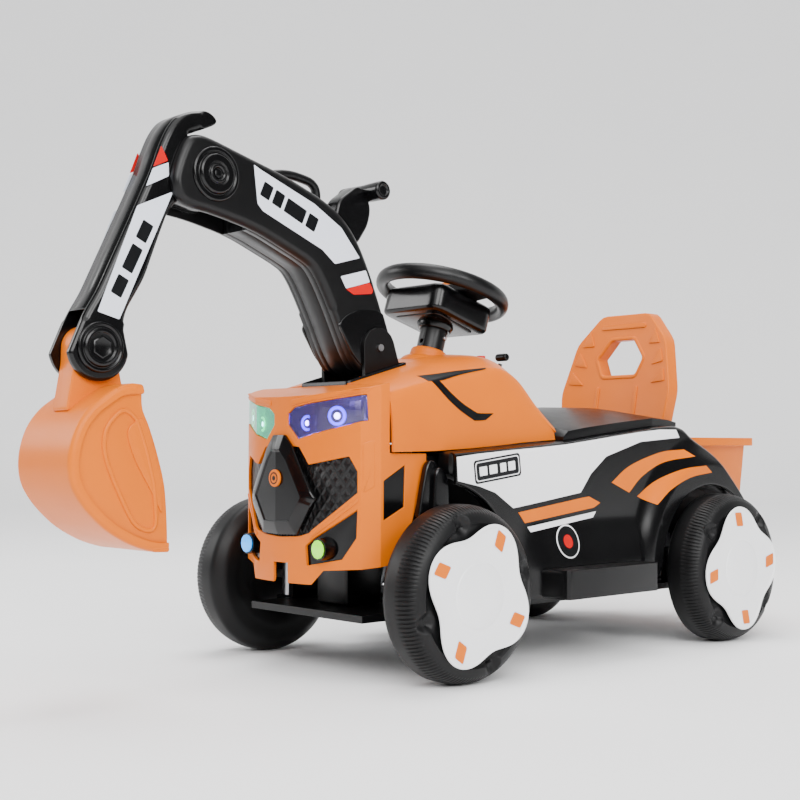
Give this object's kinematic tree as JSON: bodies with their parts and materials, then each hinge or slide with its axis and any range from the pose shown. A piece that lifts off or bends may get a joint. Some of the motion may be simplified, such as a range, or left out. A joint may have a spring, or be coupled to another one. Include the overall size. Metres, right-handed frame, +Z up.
{
  "type": "ride-on toy excavator",
  "caption": "Child's ride-on excavator with a steered front axle, a hinged digging arm and bucket, a lift-up seat over a bay, a seat back and a rear bin.",
  "frame": {"origin": "middle of the vehicle's footprint on the floor, under the bucket, wheels and bin as one box", "axes": "+Z up, the front of the vehicle (its bucket) towards -Y and the rear bin towards +Y, the vehicle's left side towards +X"},
  "size_m": [0.402, 1.056, 0.596],
  "materials": {
    "orange_plastic": "gloss",
    "black_plastic": "satin",
    "wheel_plastic": "satin",
    "white_plastic": "gloss",
    "zinc_steel": "satin",
    "lamp_housing": "gloss",
    "violet_lens": "gloss",
    "teal_lens": "gloss",
    "green_lens": "gloss",
    "blue_lens": "gloss",
    "battery_case": "matte"
  },
  "bodies": {
    "root": {"chassis_frame": "black_plastic", "battery": "battery_case", "motor_gearbox": "black_plastic", "body_shell": "black_plastic", "seat_hinge_pin": "zinc_steel", "seat_back": "orange_plastic", "rear_bin": "orange_plastic", "hood_cover": "orange_plastic", "front_fascia": "orange_plastic", "grille_panel": "black_plastic", "grille_shield": "black_plastic", "emblem_disc": "orange_plastic", "headlamp_housing_left": "lamp_housing", "headlamp_housing_right": "lamp_housing", "headlamp_lens_left": "violet_lens", "headlamp_lens_right": "teal_lens", "fog_bezel_left": "black_plastic", "fog_bezel_right": "black_plastic", "fog_lamp_lens_left": "green_lens", "fog_lamp_lens_right": "blue_lens", "side_vent_left": "black_plastic", "side_vent_right": "black_plastic", "boom_pedestal": "black_plastic", "boom_bracket": "black_plastic", "boom_base_bolt": "zinc_steel", "rear_axle": "zinc_steel", "kingpin_left": "zinc_steel", "kingpin_right": "zinc_steel"},
    "steering": {"steering_wheel": "black_plastic", "steering_hub_box": "black_plastic", "steering_column": "zinc_steel", "column_sleeve": "black_plastic"},
    "horn": {"horn_pad": "orange_plastic"},
    "music_left": {"music_button_left": "black_plastic"},
    "music_right": {"music_button_right": "black_plastic"},
    "tie_rod": {"tie_rod": "black_plastic"},
    "knuckle_left": {"steering_knuckle_left": "black_plastic"},
    "knuckle_right": {"steering_knuckle_right": "black_plastic"},
    "wheel_front_left": {"wheel_front_left": "wheel_plastic", "wheel_cover_front_left": "white_plastic"},
    "wheel_front_right": {"wheel_front_right": "wheel_plastic", "wheel_cover_front_right": "white_plastic"},
    "wheel_rear_left": {"wheel_rear_left": "wheel_plastic", "wheel_cover_rear_left": "white_plastic"},
    "wheel_rear_right": {"wheel_rear_right": "wheel_plastic", "wheel_cover_rear_right": "white_plastic"},
    "boom": {"boom": "black_plastic", "grab_handle": "black_plastic", "elbow_pin": "black_plastic", "elbow_cap": "black_plastic"},
    "lever": {"control_lever": "black_plastic"},
    "dipper": {"dipper": "black_plastic", "bucket_pin": "black_plastic", "bucket_pin_cap": "black_plastic"},
    "bucket": {"bucket": "orange_plastic"},
    "seat": {"seat_lid": "black_plastic"},
    "drive_lever": {"drive_lever": "black_plastic"},
    "power_switch": {"power_switch": "black_plastic"},
    "pedal": {"foot_pedal": "black_plastic"}
  },
  "joints": [
    {"name": "steering_turn", "type": "hinge", "parent": "root", "child": "steering", "pos_m": [0, 0.003, 0.4345], "axis": [0, 0.2907, 0.9568], "range_deg": [-38, 38]},
    {"name": "horn_press", "type": "slide", "parent": "steering", "child": "horn", "axis": [0, -0.2907, -0.9568], "range_m": [0, 0.0013], "stiffness_N_per_m": 300},
    {"name": "music_left_press", "type": "slide", "parent": "steering", "child": "music_left", "axis": [0, -0.2907, -0.9568], "range_m": [0, 0.0013], "stiffness_N_per_m": 200},
    {"name": "music_right_press", "type": "slide", "parent": "steering", "child": "music_right", "axis": [0, -0.2907, -0.9568], "range_m": [0, 0.0013], "stiffness_N_per_m": 200},
    {"name": "tie_rod_slide", "type": "slide", "parent": "root", "child": "tie_rod", "axis": [-1, 0, 0], "range_m": [-0.0123, 0.0123]},
    {"name": "knuckle_left_turn", "type": "hinge", "parent": "root", "child": "knuckle_left", "pos_m": [0.12, -0.136, 0.094], "axis": [0, 0, 1], "range_deg": [-14.2, 14.2]},
    {"name": "knuckle_right_turn", "type": "hinge", "parent": "root", "child": "knuckle_right", "pos_m": [-0.12, -0.136, 0.094], "axis": [0, 0, 1], "range_deg": [-14.2, 14.2]},
    {"name": "wheel_front_left_spin", "type": "hinge", "parent": "knuckle_left", "child": "wheel_front_left", "pos_m": [0.168, -0.136, 0.094], "axis": [1, 0, 0], "continuous": true},
    {"name": "wheel_front_right_spin", "type": "hinge", "parent": "knuckle_right", "child": "wheel_front_right", "pos_m": [-0.168, -0.136, 0.094], "axis": [1, 0, 0], "continuous": true},
    {"name": "wheel_rear_left_spin", "type": "hinge", "parent": "root", "child": "wheel_rear_left", "pos_m": [0.168, 0.341, 0.094], "axis": [1, 0, 0], "continuous": true},
    {"name": "wheel_rear_right_spin", "type": "hinge", "parent": "root", "child": "wheel_rear_right", "pos_m": [-0.168, 0.341, 0.094], "axis": [1, 0, 0], "continuous": true},
    {"name": "boom_swing", "type": "hinge", "parent": "root", "child": "boom", "pos_m": [0, -0.133, 0.36], "axis": [1, 0, 0], "range_deg": [-12, 14]},
    {"name": "lever_pull", "type": "hinge", "parent": "boom", "child": "lever", "pos_m": [0, -0.166, 0.462], "axis": [1, 0, 0], "range_deg": [-10, 4]},
    {"name": "dipper_swing", "type": "hinge", "parent": "boom", "child": "dipper", "pos_m": [0, -0.353, 0.528], "axis": [1, 0, 0], "range_deg": [-20, 8]},
    {"name": "bucket_curl", "type": "hinge", "parent": "dipper", "child": "bucket", "pos_m": [0, -0.479, 0.344], "axis": [1, 0, 0], "range_deg": [-35, 10]},
    {"name": "seat_lift", "type": "hinge", "parent": "root", "child": "seat", "pos_m": [0, 0.3115, 0.279], "axis": [-1, 0, 0], "range_deg": [0, 70]},
    {"name": "drive_lever_shift", "type": "hinge", "parent": "root", "child": "drive_lever", "pos_m": [0.03, 0.056, 0.306], "axis": [1, 0, 0], "range_deg": [-6, 6]},
    {"name": "power_press", "type": "slide", "parent": "root", "child": "power_switch", "axis": [0, 0, -1], "range_m": [0, 0.0025], "stiffness_N_per_m": 250},
    {"name": "pedal_press", "type": "hinge", "parent": "root", "child": "pedal", "pos_m": [-0.162, 0.101, 0.1135], "axis": [1, 0, 0], "range_deg": [0, 7.5], "stiffness_Nm_per_rad": 0.6}
  ],
  "couplings": [
    {"joint": "tie_rod_slide", "follows": "steering_turn", "m_per_rad": 0.0184},
    {"joint": "knuckle_left_turn", "follows": "steering_turn", "ratio": 0.3717},
    {"joint": "knuckle_right_turn", "follows": "steering_turn", "ratio": 0.3717},
    {"joint": "lever_pull", "follows": "dipper_swing", "ratio": 0.5}
  ]
}
